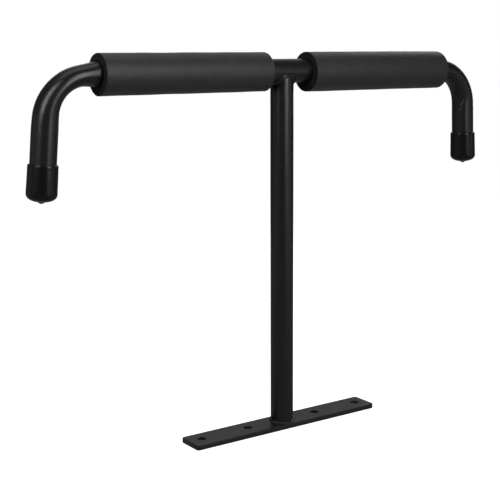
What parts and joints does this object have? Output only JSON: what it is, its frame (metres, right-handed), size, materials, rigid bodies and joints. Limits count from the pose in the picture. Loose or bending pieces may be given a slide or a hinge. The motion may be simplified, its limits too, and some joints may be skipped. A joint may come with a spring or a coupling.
{
  "type": "pull up bar",
  "caption": "T-shaped steel pull-up bar: drilled mounting plate, welded round post, crossbar with down-turned ends, foam grips and vinyl end caps.",
  "frame": {"origin": "centre of the mounting plate's outer face, the face that lies against the joist, stud or ceiling", "axes": "+Z from the plate up the post to the crossbar, +X along the crossbar and the plate, +Y across them"},
  "size_m": [0.7243, 0.0532, 0.5096],
  "materials": {
    "plate_coat": "satin black powder coat, fine texture",
    "tube_coat": "satin black powder coat",
    "weld_coat": "satin black powder coat over a rippled weld bead",
    "foam": "matt closed-cell foam with a fine skin",
    "vinyl": "dip-moulded vinyl, glossy"
  },
  "bodies": {
    "root": {"mounting_plate": "plate_coat", "upright_post": "tube_coat", "crossbar": "tube_coat", "base_weld": "weld_coat", "saddle_weld": "weld_coat", "left_grip": "foam", "right_grip": "foam", "left_end_cap": "vinyl", "right_end_cap": "vinyl"}
  },
  "joints": []
}
